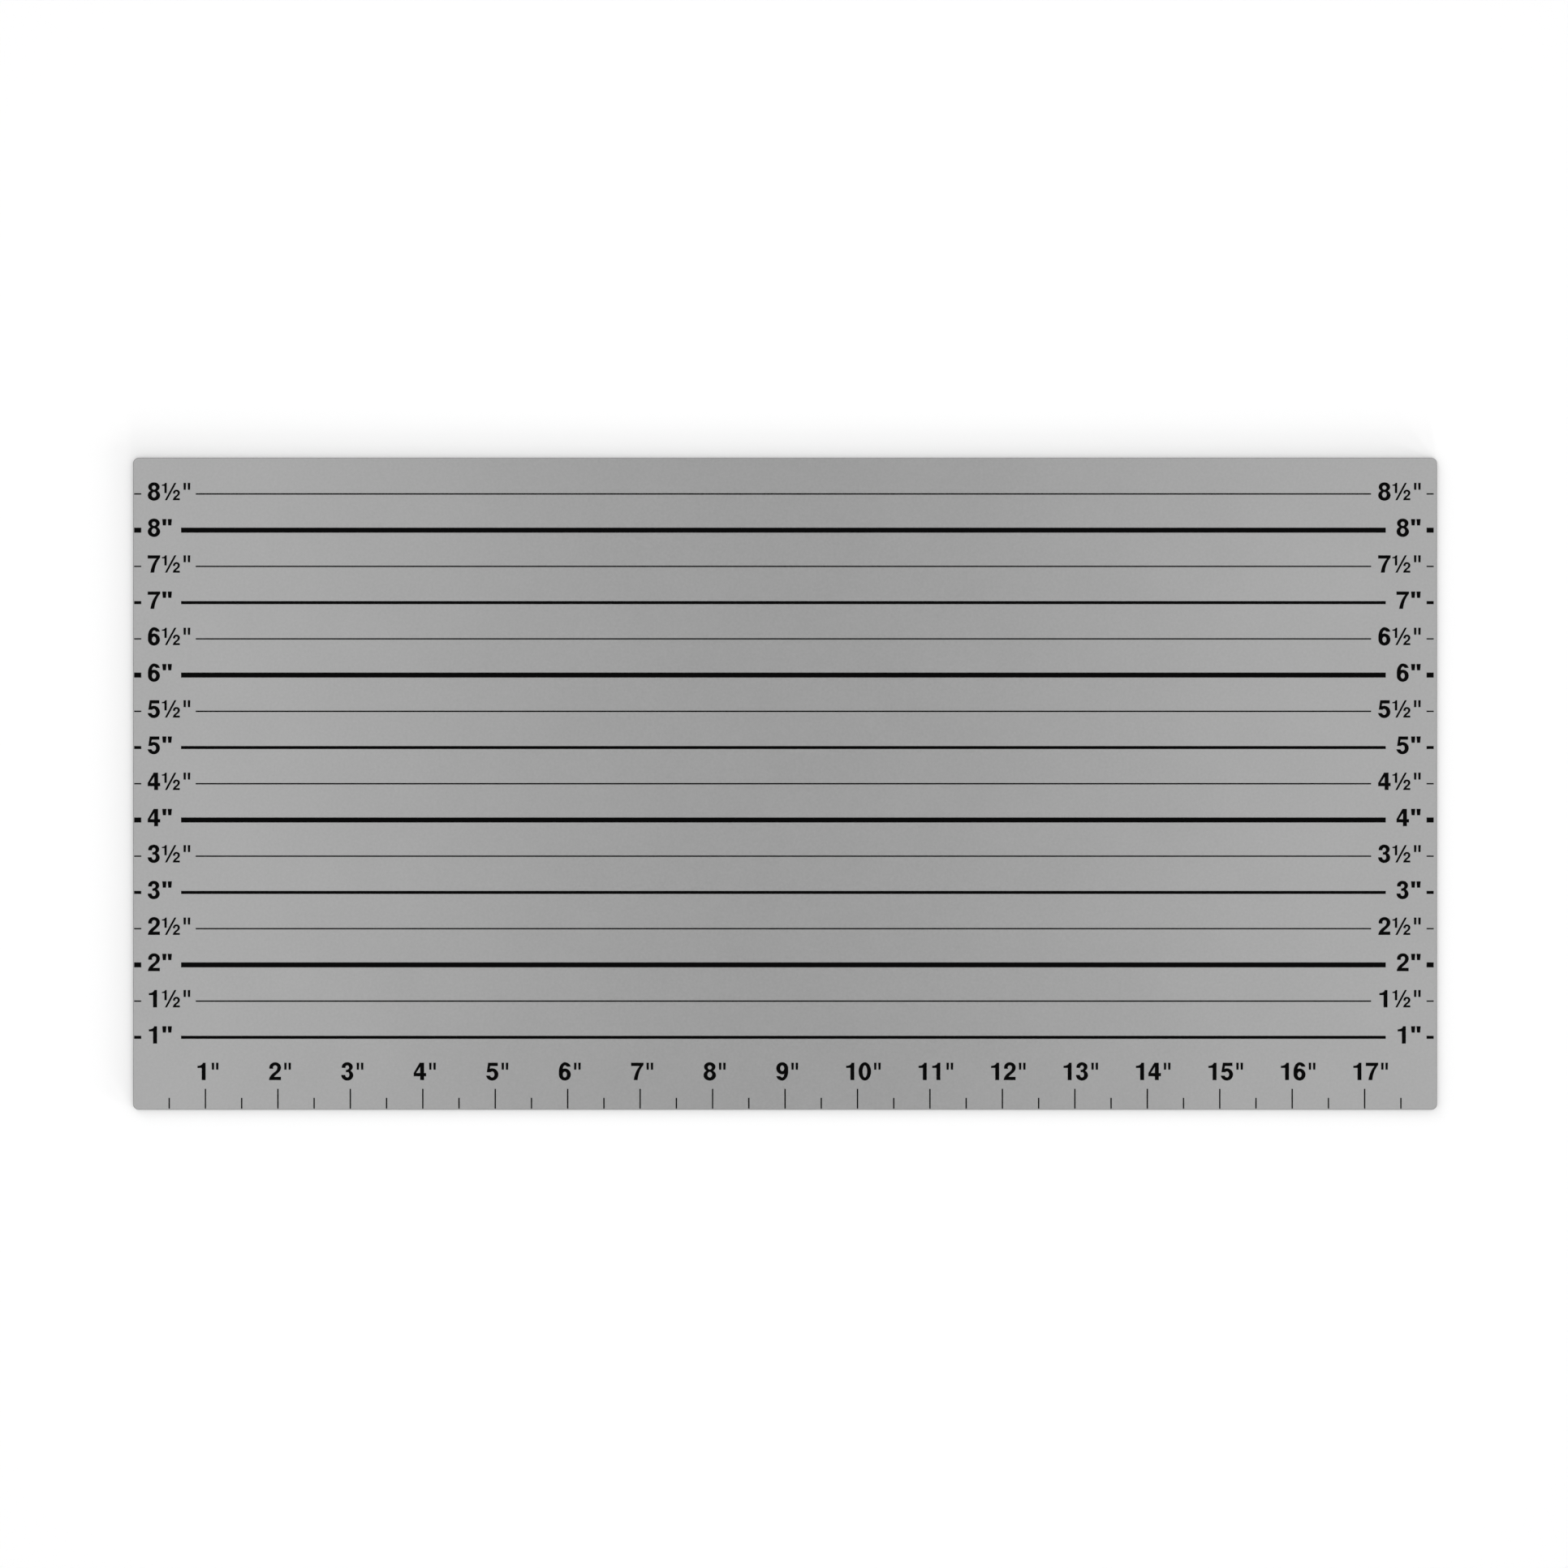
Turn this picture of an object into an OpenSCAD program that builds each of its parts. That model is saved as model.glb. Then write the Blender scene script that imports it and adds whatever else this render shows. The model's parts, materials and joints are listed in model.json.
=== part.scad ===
// Hem gauge for pressing curtain and drapery hems: a flat metal sheet with printed scales.
// Cloth is folded up over the fold edge and its raw edge is set to a hem line.
// Millimetres. X runs along the fold edge, Y from the fold edge to the far edge, Z up.
// The origin is the middle of the underside, so the sheet lies on the plane Z = 0.

/* [Sheet] */
// Length of the sheet along the fold edge
sheet_len = 457.2; // [304.8:25.4:558.8]
// Depth of the sheet, square to the fold edge
sheet_depth = 228.6; // [127:12.7:254]
// Thickness of the sheet
sheet_t = 1.6; // [0.8:0.1:3]
// Radius of the four corners, seen from above
corner_r = 2; // [1:0.1:6]
// Radius of the deburred edges, above and below
edge_r = 0.3; // [0.1:0.05:0.4]

/* [Print] */
// Height of the printed ink above the sheet
ink_t = 0.04; // [0.02:0.01:0.1]
// Least distance from the deburred edges to the ink
print_margin = 0.1; // [0.05:0.05:1]

/* [Hem lines] */
// Lowest hem line, counted in half inches above the fold edge
first_hem_steps = 2; // [2:1:6]
// Weight of the lines at even inches
heavy_line = 1.76; // [1.2:0.02:2.4]
// Weight of the lines at odd inches
medium_line = 1.07; // [0.6:0.01:1.4]
// Weight of the lines at half inches
fine_line = 0.48; // [0.2:0.01:0.7]
// Length of the dashes at the two ends of each line
dash_len = 2.5; // [1.5:0.1:3.5]
// Distance from the print margin to the right-hand dashes
right_dash_inset = 0.8; // [0:0.1:1.5]
// Space between a whole-inch number and its line
whole_line_gap = 3.2; // [1:0.1:6]
// Space between a half-inch number and its line
half_line_gap = 1.9; // [1:0.05:6]
// Extra space at the right-hand ends of all lines
right_gap_extra = 0.55; // [0:0.05:2]

/* [Fold edge scale] */
// Top of the inch ticks, above the fold edge
inch_tick_top = 7.35; // [5:0.05:9]
// Top of the half-inch ticks, above the fold edge
half_tick_top = 4.2; // [2:0.05:6]
// Weight of the inch ticks
inch_tick_w = 0.48; // [0.2:0.01:0.7]
// Weight of the half-inch ticks
half_tick_w = 0.48; // [0.2:0.01:0.7]
// Space between an inch tick and the number over it
tick_number_gap = 3.05; // [1:0.05:5]
// Distance from the left of a one-digit number to its tick
one_digit_lead = 3.2; // [1:0.05:6]
// Distance from the left of a two-digit number to its tick
two_digit_lead = 4.4; // [1:0.05:8]

/* [Numbers] */
// Height of the flat-topped digits
digit_h = 6.1; // [4.5:0.1:7]
// Width of a digit
digit_w = 4.4; // [3.6:0.05:5]
// Space between two digits
digit_gap = 0.37; // [0.3:0.01:1]
// Weight of the straight upright strokes
stem_w = 1.38; // [0.8:0.02:1.5]
// Weight of the bowls at their sides
bowl_w = 1.4; // [0.8:0.02:1.5]
// Weight of the bowls at their feet and tops
arc_w = 1.12; // [0.7:0.01:1.2]
// Weight of the straight level strokes
bar_w = 1.16; // [0.7:0.02:1.2]
// How far the round digits pass the flat ones, above and below
overshoot = 0.18; // [0:0.01:0.3]
// Distance from the dashes to the left-hand numbers
left_number_gap = 2.25; // [1:0.05:5]
// Distance from the dashes to the right-hand numbers
right_number_gap = 2.05; // [1:0.05:5]
// Distance from the middle of a hem line down to its number's baseline
number_drop = 2.2; // [1:0.05:3]

/* [Inch marks and fractions] */
// Height of the small digits in a fraction
small_digit_h = 3.6; // [2.5:0.1:4]
// Weight of the fraction's slash, measured level
slash_w = 0.75; // [0.3:0.05:0.9]
// Lean of the slash from its foot to its top
slash_run = 3.3; // [2:0.05:5]
// Space from the digit to the fraction
fraction_gap = 0.35; // [0.1:0.05:1]
// Width of the fraction, over both its small digits
fraction_w = 6.6; // [5.65:0.05:8]
// Space from a whole-inch number to its bold inch marks
bold_mark_gap = 0.7; // [0.3:0.05:2]
// Height of the bold inch marks
bold_mark_h = 2.25; // [1.5:0.05:3]
// Width of one bold inch mark at its top
bold_mark_w = 1.5; // [0.8:0.05:1.6]
// Distance from one bold inch mark to the next
bold_mark_pitch = 1.9; // [1.7:0.05:3]
// Space from a fraction to its slim inch marks
slim_mark_gap = 1.2; // [0.3:0.05:2]
// Space from a fold edge number to its slim inch marks
edge_mark_gap = 1; // [0.3:0.05:2]
// Height of the slim inch marks
slim_mark_h = 2.45; // [1.5:0.05:3]
// Width of one slim inch mark at its top
slim_mark_w = 0.88; // [0.4:0.02:1]
// Distance from one slim inch mark to the next
slim_mark_pitch = 1.5; // [1.2:0.05:2.5]
// Width of a bold inch mark's foot, as a share of its top
bold_mark_taper = 0.72; // [0.5:0.02:1]
// Width of a slim inch mark's foot, as a share of its top
slim_mark_taper = 0.88; // [0.5:0.02:1]

/* [Hidden] */
inch = 25.4;
hem_step = 0.5; // inches from one hem line to the next
last_tick_room = 10; // least distance from the last inch tick to the right edge
oval_steps = 26; // sides of a bowl
bend_steps = 5; // sides of a bend
edge_steps = 5; // steps of a deburred edge
cut_reach = 2; // how far cutting shapes pass a digit
plate_colour = "silver";
ink_colour = "black";

edge_round = min(edge_r, 0.45 * sheet_t); // both edges have to fit in the sheet
left_x = -sheet_len / 2;
right_x = sheet_len / 2;
fold_y = -sheet_depth / 2;
print_inset = edge_round + print_margin;
left_dash_x = left_x + print_inset;
right_dash_x = right_x - print_inset - right_dash_inset;
left_number_x = left_dash_x + dash_len + left_number_gap;
right_number_x = right_dash_x - dash_len - right_number_gap;

digit_pitch = digit_w + digit_gap;
mid_x = digit_w / 2;
round_foot = -overshoot;
round_top = digit_h + overshoot;
waist_y = 0.54 * digit_h;
upper_bowl_w = 0.94 * bowl_w;
waist_w = 0.75 * arc_w;
waist_lap = 0.85 * waist_w;
shoulder = 0.04 * digit_w; // how much narrower the upper bowls are, each side
small_scale = small_digit_h / digit_h;

hem_top_room = round_top - number_drop + print_inset;
last_hem_steps = floor((sheet_depth - hem_top_room) / inch / hem_step);
hem_values = [for (i = [first_hem_steps : last_hem_steps]) i * hem_step];
inch_count = floor((sheet_len - last_tick_room) / inch);
half_count = floor((sheet_len - print_inset - half_tick_w) / inch + 0.5);

function is_whole(v) = v == floor(v);
function inch_name(v) = str(floor(v), is_whole(v) ? "_inch" : "_and_half_inch");
function line_name(v) = str("hem_line_", inch_name(v));
function hem_number_name(v) = str("hem_numbers_", inch_name(v));
function edge_number_name(n) = str("edge_number_", inch_name(n));

function hem_y(v) = fold_y + v * inch;
function tick_x(v) = left_x + v * inch;
function line_weight(v) = !is_whole(v) ? fine_line : v % 2 == 0 ? heavy_line : medium_line;

// Widths of the printed numbers
function number_w(n) = (n < 10 ? 1 : 2) * digit_pitch - digit_gap;
function whole_label_w(n) = number_w(n) + bold_mark_gap + bold_mark_pitch + bold_mark_w;
function half_label_w(n) =
    number_w(n) + fraction_gap + fraction_w + slim_mark_gap + slim_mark_pitch + slim_mark_w;
function hem_label_w(v) = is_whole(v) ? whole_label_w(v) : half_label_w(floor(v));
function line_gap(v) = hem_label_w(v) + (is_whole(v) ? whole_line_gap : half_line_gap);

// A point in a digit's cell, in shares of its width and height
function cell(u, v) = [u * digit_w, v * digit_h];

// A bend from p to q that leaves p and reaches q along the lines to the corner c
function bend(p, c, q) =
    [for (i = [0 : bend_steps])
        let (t = i / bend_steps)
        (1 - t) * (1 - t) * p + 2 * t * (1 - t) * c + t * t * q];

module slab(x0, x1, y0, y1) {
    translate([x0, y0])
        square([x1 - x0, y1 - y0]);
}

// An ellipse between four tangents
module oval(x0, x1, y0, y1) {
    polygon([for (i = [0 : oval_steps - 1])
        let (a = 360 * i / oval_steps)
        [(x0 + x1 + (x1 - x0) * cos(a)) / 2, (y0 + y1 + (y1 - y0) * sin(a)) / 2]]);
}

// A closed bowl, with its own stroke weights at the sides, the foot and the top
module bowl(x0, x1, y0, y1, side_w, foot_w, top_w) {
    difference() {
        oval(x0, x1, y0, y1);
        oval(x0 + side_w, x1 - side_w, y0 + foot_w, y1 - top_w);
    }
}

// The two bowls of a 3 and an 8, one stroke thick where they lap
module stacked_bowls(right) {
    lower_top = waist_y - waist_w / 2 + waist_lap;
    upper_foot = waist_y + waist_w / 2 - waist_lap;
    bowl(0, right, round_foot, lower_top, bowl_w, arc_w, waist_lap);
    bowl(shoulder, right - shoulder, upper_foot, round_top, upper_bowl_w, waist_lap, arc_w);
}

module digit_0() {
    bowl(0, digit_w, round_foot, round_top, bowl_w, arc_w, arc_w);
}

module digit_1() {
    stem_x = 0.43 * digit_w;
    polygon(concat(
        [[stem_x, 0], [stem_x + stem_w, 0], [stem_x + stem_w, digit_h]],
        bend(cell(0.52, 1), cell(0.48, 0.83), cell(0.09, 0.82)),
        [cell(0.09, 0.7), [stem_x, 0.7 * digit_h]]
    ));
}

module digit_2() {
    right = digit_w - shoulder / 2;
    bowl_y = 0.725 * digit_h;
    end_y = 0.65 * digit_h;
    difference() {
        bowl(shoulder, right, 2 * bowl_y - round_top, round_top, upper_bowl_w, arc_w, arc_w);
        slab(-cut_reach, digit_w + cut_reach, -cut_reach, end_y);
    }
    polygon(concat(
        bend([right - upper_bowl_w, bowl_y], [right - upper_bowl_w, 0.58 * digit_h], cell(0.48, 0.47)),
        bend(cell(0.48, 0.47), cell(0.03, 0.26), cell(0.01, 0)),
        [cell(0.41, 0)],
        bend([0.41 * digit_w, 0.95 * bar_w], cell(0.49, 0.26), cell(0.71, 0.39)),
        bend(cell(0.71, 0.39), cell(0.98, 0.54), [right, bowl_y])
    ));
    slab(0.3 * digit_w, 0.97 * digit_w, 0, bar_w);
}

module digit_3() {
    difference() {
        stacked_bowls(0.965 * digit_w);
        slab(-cut_reach, mid_x, 0.3 * digit_h, 0.7 * digit_h);
    }
    slab(0.37 * digit_w, 0.54 * digit_w, waist_y - 0.65 * waist_w, waist_y + 0.4 * waist_w);
}

module digit_4() {
    stem_x = 0.83 * digit_w - stem_w;
    cross_y = 0.22 * digit_h;
    difference() {
        polygon([
            [0, cross_y], [stem_x, cross_y], [stem_x, 0], [stem_x + stem_w, 0],
            [stem_x + stem_w, cross_y], [digit_w, cross_y], [digit_w, cross_y + bar_w],
            [stem_x + stem_w, cross_y + bar_w], [stem_x + stem_w, digit_h],
            [stem_x - 0.04 * digit_w, digit_h], [0, cross_y + bar_w]
        ]);
        polygon([[stem_x, 0.76 * digit_h], [stem_x, cross_y + bar_w], [0.2 * digit_w, cross_y + bar_w]]);
    }
}

module digit_5() {
    right = digit_w - shoulder / 2;
    neck_y = 0.45 * digit_h;
    difference() {
        bowl(-shoulder / 2, right, round_foot, 0.68 * digit_h, bowl_w, arc_w, arc_w);
        polygon([
            cell(-0.3, 0.26), cell(0.5, 0.26), cell(0.5, 0.45),
            cell(0.15, 0.45), cell(0.25, 1), cell(-0.3, 1)
        ]);
    }
    polygon([[0.05 * digit_w, neck_y], [0.25 * digit_w, neck_y], cell(0.37, 1), cell(0.16, 1)]);
    slab(0.2 * digit_w, 0.93 * digit_w, digit_h - bar_w, digit_h);
}

module digit_6() {
    left = 0.02 * digit_w;
    bowl_top = 0.67 * digit_h;
    bowl_y = (round_foot + bowl_top) / 2;
    difference() {
        union() {
            difference() {
                bowl(left, digit_w - left, round_foot, round_top, upper_bowl_w, arc_w, arc_w);
                slab(-cut_reach, digit_w + cut_reach, -cut_reach, bowl_y);
                slab(mid_x, digit_w + cut_reach, -cut_reach, round_top + cut_reach);
            }
            difference() {
                bowl(left, digit_w - left, 0.4 * digit_h, round_top, bowl_w, arc_w, arc_w);
                slab(-cut_reach, 0.4 * digit_w, -cut_reach, round_top + cut_reach);
                slab(-cut_reach, digit_w + cut_reach, -cut_reach, 0.77 * digit_h);
            }
            slab(left, left + 0.6 * bowl_w, bowl_y, digit_h / 2);
            oval(left, digit_w - left, round_foot, bowl_top);
        }
        oval(left + bowl_w, digit_w - left - bowl_w, round_foot + arc_w, bowl_top - arc_w);
    }
}

module digit_7() {
    foot_x = 0.21 * digit_w;
    polygon(concat(
        [cell(0, 1), cell(1, 1)],
        bend(cell(1, 0.87), cell(0.6, 0.56), [foot_x + stem_w, 0]),
        bend([foot_x, 0], cell(0.3, 0.47), [0.69 * digit_w, digit_h - bar_w]),
        [[0, digit_h - bar_w]]
    ));
}

module digit_8() {
    stacked_bowls(digit_w);
}

module digit_9() {
    translate([digit_w, digit_h])
        rotate(180)
            digit_6();
}

module digit(n) {
    if (n == 0) digit_0();
    if (n == 1) digit_1();
    if (n == 2) digit_2();
    if (n == 3) digit_3();
    if (n == 4) digit_4();
    if (n == 5) digit_5();
    if (n == 6) digit_6();
    if (n == 7) digit_7();
    if (n == 8) digit_8();
    if (n == 9) digit_9();
}

// A number of one or two digits, from its lower left corner
module number(n) {
    if (n >= 10) {
        digit(floor(n / 10));
    }
    translate([number_w(n) - digit_w, 0])
        digit(n % 10);
}

// The small 1 over the small 2, with the slash between them
module one_half() {
    translate([0, digit_h - small_digit_h])
        scale(small_scale)
            digit_1();
    translate([(fraction_w - slash_run - slash_w) / 2, 0])
        polygon([[0, 0], [slash_w, 0], [slash_run + slash_w, digit_h], [slash_run, digit_h]]);
    translate([fraction_w - digit_w * small_scale, 0])
        scale(small_scale)
            digit_2();
}

// The two strokes that stand for inches, level with the top of the digits
module inch_marks(w, h, pitch, taper) {
    foot_inset = w * (1 - taper) / 2;
    for (i = [0 : 1])
        translate([i * pitch, digit_h - h])
            polygon([[foot_inset, 0], [w - foot_inset, 0], [w, h], [0, h]]);
}

module slim_marks() {
    inch_marks(slim_mark_w, slim_mark_h, slim_mark_pitch, slim_mark_taper);
}

module hem_label(v) {
    n = floor(v);
    number(n);
    if (is_whole(v)) {
        translate([number_w(n) + bold_mark_gap, 0])
            inch_marks(bold_mark_w, bold_mark_h, bold_mark_pitch, bold_mark_taper);
    } else {
        translate([number_w(n) + fraction_gap, 0])
            one_half();
        translate([number_w(n) + fraction_gap + fraction_w + slim_mark_gap, 0])
            slim_marks();
    }
}

// Lays a flat shape on the sheet as a film of ink
module printed() {
    translate([0, 0, sheet_t])
        linear_extrude(ink_t)
            children();
}

// Half of the sheet's edge in section, from a corner's centre line outwards
function edge_section() = concat(
    [[0, 0]],
    [for (i = [0 : edge_steps])
        let (a = 90 * i / edge_steps)
        [corner_r - edge_round * (1 - sin(a)), edge_round * (1 - cos(a))]],
    [for (i = [0 : edge_steps])
        let (a = 90 * i / edge_steps)
        [corner_r - edge_round * (1 - cos(a)), sheet_t - edge_round * (1 - sin(a))]],
    [[0, sheet_t]]
);

// One rounded side, facing +X from a corner's centre line at X = 0
module side_strip(len) {
    translate([0, len / 2, 0])
        rotate([90, 0, 0])
            linear_extrude(len)
                polygon(edge_section());
}

module gauge_plate() {
    inner_len = sheet_len - 2 * corner_r;
    inner_depth = sheet_depth - 2 * corner_r;
    color(plate_colour) {
        translate([-inner_len / 2, -inner_depth / 2, 0])
            cube([inner_len, inner_depth, sheet_t]);
        for (turn = [0, 180]) {
            rotate(turn)
                translate([inner_len / 2, 0, 0])
                    side_strip(inner_depth);
            rotate(turn + 90)
                translate([inner_depth / 2, 0, 0])
                    side_strip(inner_len);
            rotate(turn) {
                translate([inner_len / 2, inner_depth / 2, 0])
                    rotate_extrude(angle = 90)
                        polygon(edge_section());
                translate([-inner_len / 2, inner_depth / 2, 0])
                    rotate(90)
                        rotate_extrude(angle = 90)
                            polygon(edge_section());
            }
        }
    }
}

module level_stroke(x0, x1, w) {
    slab(x0, x1, -w / 2, w / 2);
}

// One hem line with the dash at each end
module hem_line(v) {
    w = line_weight(v);
    color(ink_colour)
        printed()
            translate([0, hem_y(v)]) {
                level_stroke(left_dash_x, left_dash_x + dash_len, w);
                level_stroke(left_number_x + line_gap(v), right_number_x - line_gap(v) - right_gap_extra, w);
                level_stroke(right_dash_x - dash_len, right_dash_x, w);
            }
}

// The numbers at the left and right ends of one hem line
module hem_numbers(v) {
    color(ink_colour)
        printed()
            for (x = [left_number_x, right_number_x - hem_label_w(v)])
                translate([x, hem_y(v) - number_drop])
                    hem_label(v);
}

module tick(v, w, top) {
    translate([tick_x(v), fold_y])
        slab(-w / 2, w / 2, print_inset, top);
}

module inch_ticks() {
    color(ink_colour)
        printed()
            for (n = [1 : inch_count])
                tick(n, inch_tick_w, inch_tick_top);
}

module half_inch_ticks() {
    color(ink_colour)
        printed()
            for (n = [1 : half_count])
                tick(n - 0.5, half_tick_w, half_tick_top);
}

// One number of the fold edge scale, over its tick
module edge_number(n) {
    lead = n < 10 ? one_digit_lead : two_digit_lead;
    color(ink_colour)
        printed()
            translate([tick_x(n) - lead, fold_y + inch_tick_top + tick_number_gap]) {
                number(n);
                translate([number_w(n) + edge_mark_gap, 0])
                    slim_marks();
            }
}

gauge_plate();
for (v = hem_values) {
    hem_line(v);
    hem_numbers(v);
}
inch_ticks();
half_inch_ticks();
for (n = [1 : inch_count]) {
    edge_number(n);
}
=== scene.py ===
import json
import math

import bpy
import numpy as np
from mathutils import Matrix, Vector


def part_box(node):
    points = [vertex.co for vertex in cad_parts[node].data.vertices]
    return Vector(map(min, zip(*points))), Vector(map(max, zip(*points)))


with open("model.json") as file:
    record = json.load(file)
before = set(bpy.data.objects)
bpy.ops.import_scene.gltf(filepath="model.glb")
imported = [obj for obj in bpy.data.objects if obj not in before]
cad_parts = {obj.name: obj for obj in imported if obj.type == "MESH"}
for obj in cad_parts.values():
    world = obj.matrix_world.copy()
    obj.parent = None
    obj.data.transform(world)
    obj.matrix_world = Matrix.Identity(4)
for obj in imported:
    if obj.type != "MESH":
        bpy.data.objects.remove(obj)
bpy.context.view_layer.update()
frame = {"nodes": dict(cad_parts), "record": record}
print("gauge: frame loaded,", len(frame["nodes"]), "nodes")

inch = 0.0254
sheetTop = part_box("gauge_plate")[1][2]


# A colour written as sRGB hex, turned to linear light
def linearColour(hexCode):
    parts = np.array([int(hexCode[i:i + 2], 16) for i in (1, 3, 5)]) / 255
    light = np.where(parts <= 0.04045, parts / 12.92, ((parts + 0.055) / 1.055) ** 2.4)
    return (*light.tolist(), 1.0)


# Adds one node. A setting goes to the input of that name or number, or else to the node itself,
# and a link runs from another node's output to the input of that name or number.
def addNode(tree, kind, settings=None, links=None):
    node = tree.nodes.new(kind)
    for name, value in (settings or {}).items():
        if isinstance(name, int) or name in node.inputs:
            node.inputs[name].default_value = value
        else:
            setattr(node, name, value)
    for name, source in (links or {}).items():
        tree.links.new(source, node.inputs[name])
    return node


# A material with an empty node tree
def newMaterial(name):
    material = bpy.data.materials.new(name)
    material.use_nodes = True
    material.node_tree.nodes.clear()
    return material, material.node_tree


# Noise fixed to the sheet. Its blotches are about as wide as the finish's value of that name.
def addNoise(tree, place, finish, name):
    return addNode(
        tree, "ShaderNodeTexNoise",
        {"Scale": 1 / finish[name], "Detail": finish[name + "Detail"],
         "Roughness": finish[name + "Harshness"]},
        {"Vector": place.outputs["Object"]},
    )


# Camera: a long lens over the sheet, at the height where one inch of the scale takes
# as many pixels as in the photograph
view = {
    "imageSide": 1932,
    "pixelsPerInch": 89.27,
    "sheetMiddle": (967.3, 965.7),  # pixels from the left and from the top
    "lens": 135.0,
    "sensor": 36.0,
    "nearest": 0.05,  # metres, between which the camera sees
    "farthest": 40.0,
}
pixel = inch / view["pixelsPerInch"]
seenWidth = view["imageSide"] * pixel
lensHeight = seenWidth * view["lens"] / view["sensor"]
cameraData = bpy.data.cameras.new("overheadCamera")
cameraData.sensor_width = view["sensor"]
cameraData.lens = view["lens"]
cameraData.clip_start = view["nearest"]
cameraData.clip_end = view["farthest"]
camera = bpy.data.objects.new("overheadCamera", cameraData)
camera.location = (
    (view["imageSide"] / 2 - view["sheetMiddle"][0]) * pixel,
    (view["sheetMiddle"][1] - view["imageSide"] / 2) * pixel,
    sheetTop + lensHeight,
)
bpy.context.scene.collection.objects.link(camera)
bpy.context.scene.camera = camera
bpy.context.scene.view_settings.view_transform = "Standard"
print("gauge: camera", round(lensHeight, 3), "m above the sheet")


# Table: a flat disc. Its points stand on rings about z, whose radii grow with a power of the ring's
# number, so that the rings are close at the sheet and wide at the rim.
table = {
    "radius": 7.0,
    "drop": 0.0001,  # keeps the table clear of the sheet's underside
    "rings": 24,
    "ringPower": 3,
    "spokes": 96,
    "colour": "#E7E7E7",
    "whiteLift": 0.152,  # glow that brings the lit card up to white, near the sheet and far from it
    "farWhiteLift": 0.38,
    "liftFrom": 0.45,  # metres from the middle, between which the lift grows as the lamps' light fades
    "liftTo": 2.2,
}


def tableMesh(name):
    share = np.linspace(0, 1, table["rings"] + 1)[1:]
    reach = share ** table["ringPower"] * table["radius"]
    turn = np.arange(table["spokes"]) * 2 * math.pi / table["spokes"]
    ring = np.stack([np.cos(turn), np.sin(turn), np.zeros_like(turn)], axis=-1)
    points = (reach[:, None, None] * ring[None]).reshape(-1, 3)
    points = np.vstack([points, [[0, 0, 0]]])
    points[:, 2] = -table["drop"]
    spoke = np.arange(table["spokes"])
    nextSpoke = (spoke + 1) % table["spokes"]
    middle = len(points) - 1
    fan = np.stack([np.full_like(spoke, middle), spoke, nextSpoke], axis=-1)
    inner = np.arange(table["rings"] - 1)[:, None] * table["spokes"]
    outer = inner + table["spokes"]
    quads = np.stack([inner + spoke, outer + spoke, outer + nextSpoke, inner + nextSpoke], axis=-1)
    mesh = bpy.data.meshes.new(name)
    mesh.from_pydata(points.tolist(), [], fan.tolist() + quads.reshape(-1, 4).tolist())
    mesh.update()
    return mesh


# Matt white card, pressed from pulp: even and without gloss. Seen directly, in metal or through glass
# it is lifted to white, and it keeps the sheet's shadow.
def whiteCard():
    material, tree = newMaterial("whiteCard")
    lightPath = addNode(tree, "ShaderNodeLightPath")
    seen = lightPath.outputs["Is Camera Ray"]
    for ray in ("Is Glossy Ray", "Is Transmission Ray"):
        either = addNode(
            tree, "ShaderNodeMath", {"operation": "MAXIMUM"}, {0: seen, 1: lightPath.outputs[ray]},
        )
        seen = either.outputs[0]
    place = addNode(tree, "ShaderNodeTexCoord")
    away = addNode(tree, "ShaderNodeVectorMath", {"operation": "LENGTH"}, {0: place.outputs["Object"]})
    white = addNode(
        tree, "ShaderNodeMapRange",
        {"interpolation_type": "SMOOTHSTEP", "From Min": table["liftFrom"], "From Max": table["liftTo"],
         "To Min": table["whiteLift"], "To Max": table["farWhiteLift"]},
        {"Value": away.outputs["Value"]},
    )
    lift = addNode(
        tree, "ShaderNodeMath", {"operation": "MULTIPLY"}, {0: seen, 1: white.outputs["Result"]},
    )
    card = addNode(tree, "ShaderNodeBsdfDiffuse", {"Color": linearColour(table["colour"])})
    glow = addNode(tree, "ShaderNodeEmission", {"Color": (1, 1, 1, 1)}, {"Strength": lift.outputs[0]})
    both = addNode(tree, "ShaderNodeAddShader", None, {0: card.outputs[0], 1: glow.outputs[0]})
    addNode(tree, "ShaderNodeOutputMaterial", None, {"Surface": both.outputs[0]})
    return material


tableTop = bpy.data.objects.new("tableTop", tableMesh("tableTop"))
tableTop.data.materials.append(whiteCard())
bpy.context.scene.collection.objects.link(tableTop)
print("gauge: table made")


# Light: a pale room that is whitest at the horizon, two soft panels over the ends of the sheet,
# a fan of low broad lamps that draw the sheet's long soft shadow up and to the left,
# and a higher, weaker one from the other side that draws the short shadow down and to the right
light = {
    "horizon": 1.15,
    "zenith": 0.14,
    "fadeFrom": 0.35,  # sines of the heights between which the room darkens overhead
    "fadeTo": 0.95,
    "panelHeight": 1.0,
    "panelGap": 0.14,  # from the middle to a panel's inner edge
    "panelWidth": 0.5,
    "panelLength": 1.5,
    "panelRadiance": 1.155,
    "lowLampStrength": 3.9,
    "lowLampElevation": 6.4,  # degrees above the table
    "lowLampSpread": 8.0,  # degrees across the lamp as the sheet sees it
    "lowLampBearings": (-6.0, -36.0, -66.0),  # degrees, minus where the light turns from +y towards -x
    "farLampStrength": 0.46,
    "farLampElevation": 20.0,
    "farLampSpread": 26.0,
    "farLampBearings": (144.0,),
}


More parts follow.
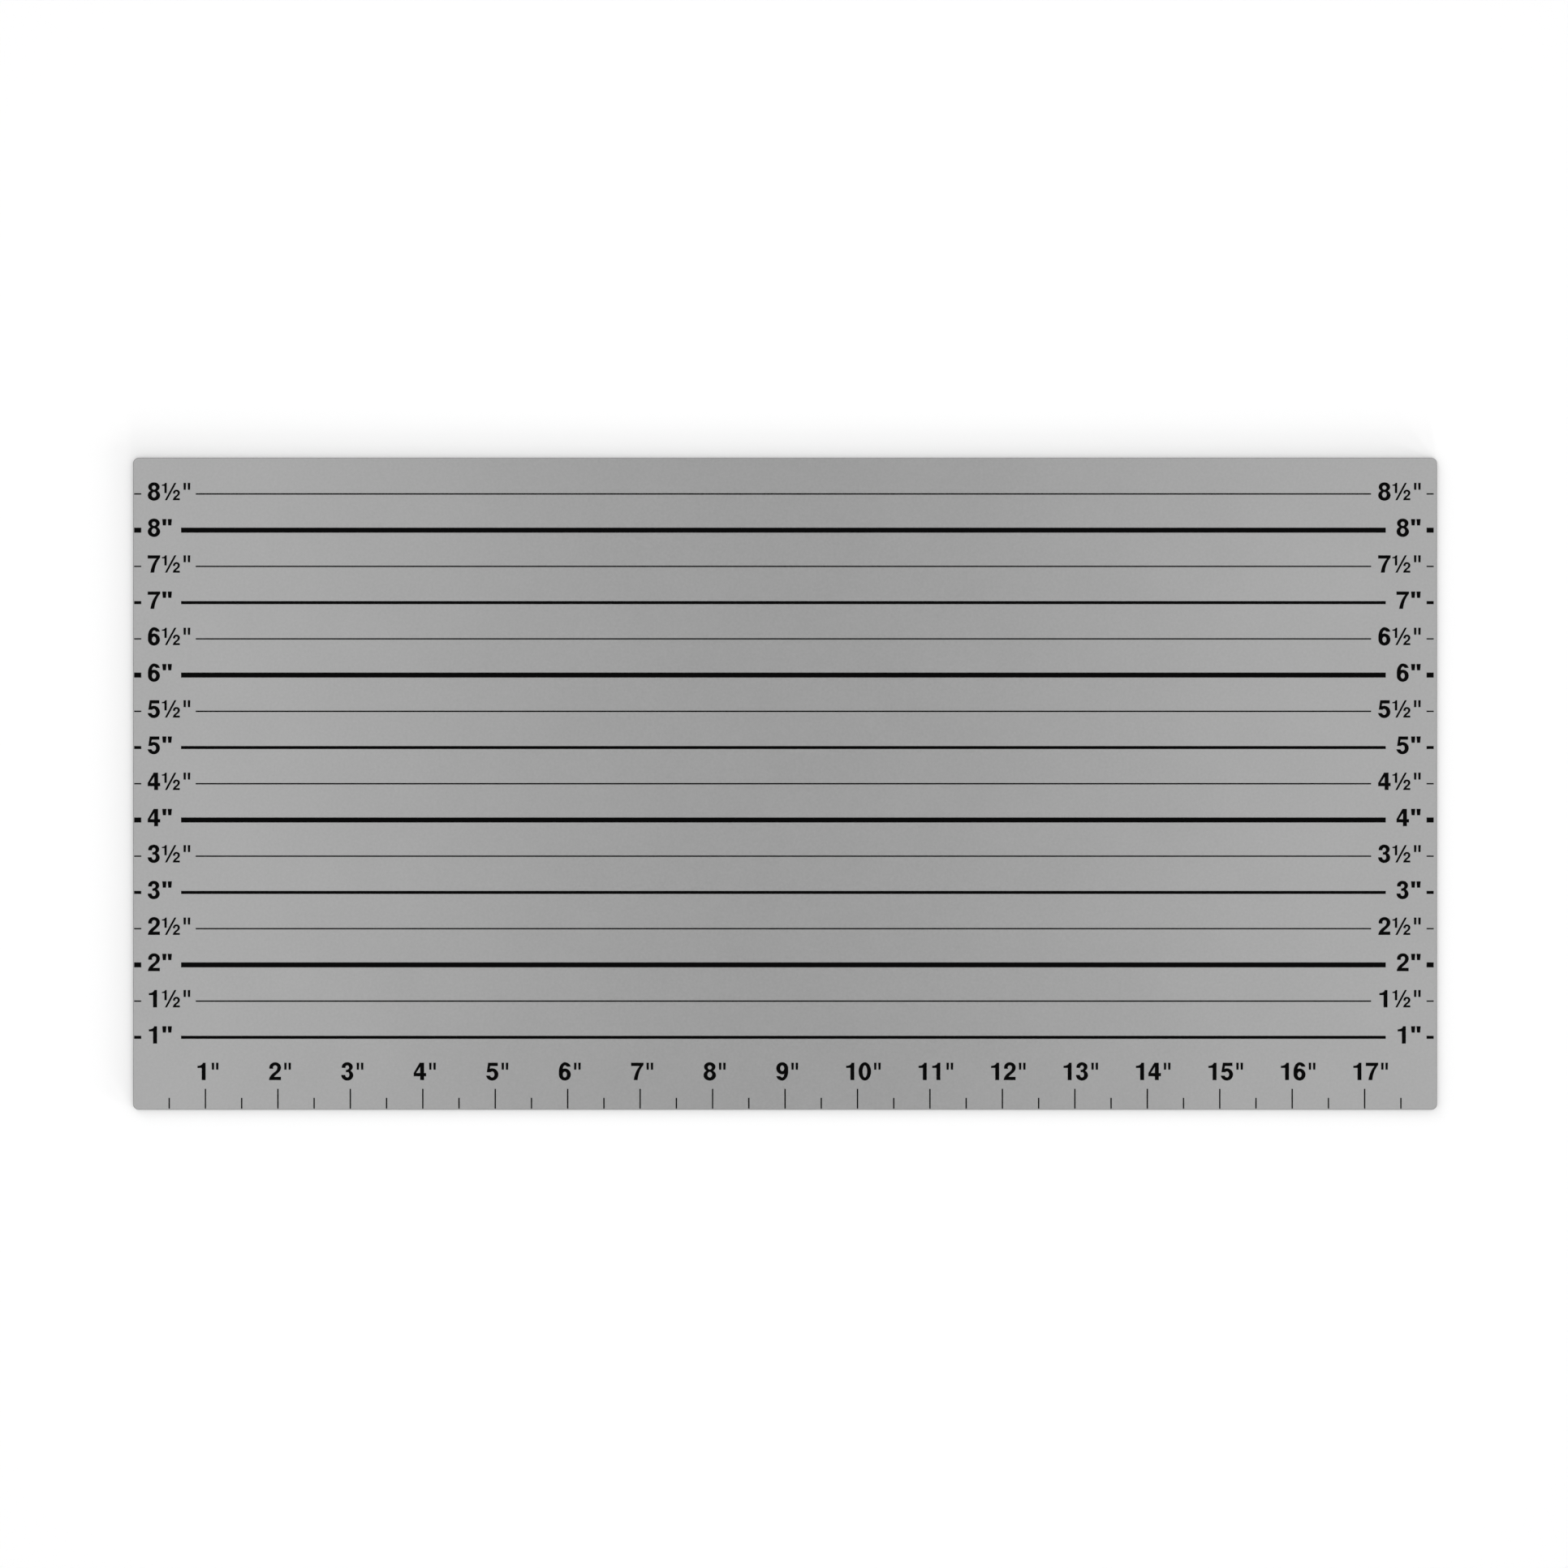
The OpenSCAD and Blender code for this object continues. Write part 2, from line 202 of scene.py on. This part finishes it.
# White walls under a darker ceiling, as levels of the world by height
def paleRoom():
    world = bpy.data.worlds.new("paleRoom")
    world.use_nodes = True
    tree = world.node_tree
    tree.nodes.clear()
    direction = addNode(tree, "ShaderNodeTexCoord")
    parts = addNode(tree, "ShaderNodeSeparateXYZ", None, {0: direction.outputs["Generated"]})
    level = addNode(
        tree, "ShaderNodeMapRange",
        {"interpolation_type": "SMOOTHSTEP", "From Min": light["fadeFrom"], "From Max": light["fadeTo"],
         "To Min": light["horizon"], "To Max": light["zenith"]},
        {"Value": parts.outputs["Z"]},
    )
    background = addNode(
        tree, "ShaderNodeBackground", {"Color": (1, 1, 1, 1)}, {"Strength": level.outputs["Result"]},
    )
    addNode(tree, "ShaderNodeOutputWorld", None, {"Surface": background.outputs[0]})
    bpy.context.scene.world = world


# A panel over one end of the sheet. Its power is its radiance times its area times pi.
def softPanel(name, side):
    panel = bpy.data.lights.new(name, "AREA")
    panel.shape = "RECTANGLE"
    panel.size = light["panelWidth"]
    panel.size_y = light["panelLength"]
    panel.energy = light["panelRadiance"] * light["panelWidth"] * light["panelLength"] * math.pi
    lamp = bpy.data.objects.new(name, panel)
    lamp.location = (side * (light["panelGap"] + light["panelWidth"] / 2), 0, light["panelHeight"])
    bpy.context.scene.collection.objects.link(lamp)


# A fan of broad lamps of one kind, one to a bearing, that share its strength
def slantLamps(kind):
    bearings = light[kind + "Bearings"]
    tilt = math.radians(90 - light[kind + "Elevation"])
    for bearing in bearings:
        sun = bpy.data.lights.new(kind, "SUN")
        sun.energy = light[kind + "Strength"] / len(bearings)
        sun.angle = math.radians(light[kind + "Spread"])
        lamp = bpy.data.objects.new(kind, sun)
        lamp.rotation_euler = (tilt, 0, math.radians(-bearing))
        lamp.visible_glossy = False  # it only grades the table, and leaves no glint along the rim
        bpy.context.scene.collection.objects.link(lamp)


paleRoom()
softPanel("panelLeft", -1)
softPanel("panelRight", 1)
slantLamps("lowLamp")
slantLamps("farLamp")
print("gauge: lit")


# Satin anodised aluminium sheet, etched before anodising: a level grey with a very fine even grain.
# Its tumbled edges are duller than the faces. Their colour is also darkened as painted shade, standing in
# for the darker reflection along the rim.
sheetFinish = {
    "bright": "#BABABA",
    "dull": "#A6A6A6",
    # painted shade: the rim's colour, darker than the faces in place of the rim's darker reflection
    "edge": "#808080",
    "roughness": 0.42,
    "roughnessSwing": 0.03,
    "edgeRoughness": 0.5,
    "grain": 0.0009,  # metres. The etched pits are about 0.05 mm, drawn coarser so that they show
    "grainDetail": 2.0,
    "grainHarshness": 0.6,
    "grainRange": (0.25, 0.75),  # where nearly all of the noise lies
    "grainDepth": 0.000004,
    "cloud": 0.028,  # metres, the slow unevenness of rolled sheet
    "cloudDetail": 3.0,
    "cloudHarshness": 0.5,
    "cloudShare": 0.28,  # of the tone, the rest being grain
    "rimRange": (0.99, 0.8),  # how level the surface is where the face ends and where it is all edge
}


def anodisedSheet():
    material, tree = newMaterial("satinAnodisedSheet")
    place = addNode(tree, "ShaderNodeTexCoord")
    grain = addNoise(tree, place, sheetFinish, "grain")
    cloud = addNoise(tree, place, sheetFinish, "cloud")
    tone = addNode(
        tree, "ShaderNodeMix", {"data_type": "FLOAT", "Factor": sheetFinish["cloudShare"]},
        {"A": grain.outputs["Fac"], "B": cloud.outputs["Fac"]},
    )
    face = addNode(
        tree, "ShaderNodeMix",
        {"data_type": "RGBA", 6: linearColour(sheetFinish["dull"]), 7: linearColour(sheetFinish["bright"])},
        {"Factor": tone.outputs[0]},
    )
    shape = addNode(tree, "ShaderNodeNewGeometry")
    facing = addNode(tree, "ShaderNodeSeparateXYZ", None, {0: shape.outputs["Normal"]})
    level = addNode(tree, "ShaderNodeMath", {"operation": "ABSOLUTE"}, {0: facing.outputs["Z"]})
    # where the surface tilts away from level: this carries the rim's painted shade and its real extra
    # roughness
    rimShadeAndRoughness = addNode(
        tree, "ShaderNodeMapRange",
        {"From Min": sheetFinish["rimRange"][0], "From Max": sheetFinish["rimRange"][1]},
        {"Value": level.outputs[0]},
    )
    # painted shade: the rim is darkened in colour to stand in for its darker reflection
    colour = addNode(
        tree, "ShaderNodeMix", {"data_type": "RGBA", 7: linearColour(sheetFinish["edge"])},
        {"Factor": rimShadeAndRoughness.outputs["Result"], 6: face.outputs[2]},
    )
    rough = addNode(
        tree, "ShaderNodeMapRange",
        {"From Min": sheetFinish["grainRange"][0], "From Max": sheetFinish["grainRange"][1],
         "To Min": sheetFinish["roughness"] - sheetFinish["roughnessSwing"],
         "To Max": sheetFinish["roughness"] + sheetFinish["roughnessSwing"]},
        {"Value": grain.outputs["Fac"]},
    )
    roughAll = addNode(
        tree, "ShaderNodeMix", {"data_type": "FLOAT", 3: sheetFinish["edgeRoughness"]},
        {"Factor": rimShadeAndRoughness.outputs["Result"], 2: rough.outputs["Result"]},
    )
    pits = addNode(
        tree, "ShaderNodeBump", {"Strength": 1.0, "Distance": sheetFinish["grainDepth"]},
        {"Height": grain.outputs["Fac"]},
    )
    metal = addNode(
        tree, "ShaderNodeBsdfPrincipled", {"Metallic": 1.0},
        {"Base Color": colour.outputs[2], "Roughness": roughAll.outputs[0], "Normal": pits.outputs[0]},
    )
    addNode(tree, "ShaderNodeOutputMaterial", None, {"Surface": metal.outputs[0]})
    return material


# Black screen ink, printed through a fine mesh and baked: nearly matt, with a faint tooth
inkFinish = {
    "thin": "#060606",
    "full": "#010101",
    "roughness": 0.55,
    "ior": 1.5,
    "specular": 0.03,  # low: matt carbon ink gives back hardly any light
    "tooth": 0.0004,  # metres, about the printing mesh's pitch
    "toothDetail": 2.0,
    "toothHarshness": 0.5,
    "toothDepth": 0.000003,
}


def screenInk():
    material, tree = newMaterial("blackScreenInk")
    place = addNode(tree, "ShaderNodeTexCoord")
    tooth = addNoise(tree, place, inkFinish, "tooth")
    colour = addNode(
        tree, "ShaderNodeMix",
        {"data_type": "RGBA", 6: linearColour(inkFinish["thin"]), 7: linearColour(inkFinish["full"])},
        {"Factor": tooth.outputs["Fac"]},
    )
    relief = addNode(
        tree, "ShaderNodeBump", {"Strength": 1.0, "Distance": inkFinish["toothDepth"]},
        {"Height": tooth.outputs["Fac"]},
    )
    ink = addNode(
        tree, "ShaderNodeBsdfPrincipled",
        {"Roughness": inkFinish["roughness"], "IOR": inkFinish["ior"],
         "Specular IOR Level": inkFinish["specular"]},
        {"Base Color": colour.outputs[2], "Normal": relief.outputs[0]},
    )
    addNode(tree, "ShaderNodeOutputMaterial", None, {"Surface": ink.outputs[0]})
    return material


# Each CAD node keeps its mesh and gets the finish of its material slot
finishes = {"rolled_aluminium": anodisedSheet(), "screen_ink": screenInk()}
slotOf = {part["node"]: part["material_slot"] for part in frame["record"]["subparts"]}
for name, piece in frame["nodes"].items():
    for slot in piece.material_slots:
        slot.material = finishes[slotOf[name]]
print("gauge: sheet and ink finished")
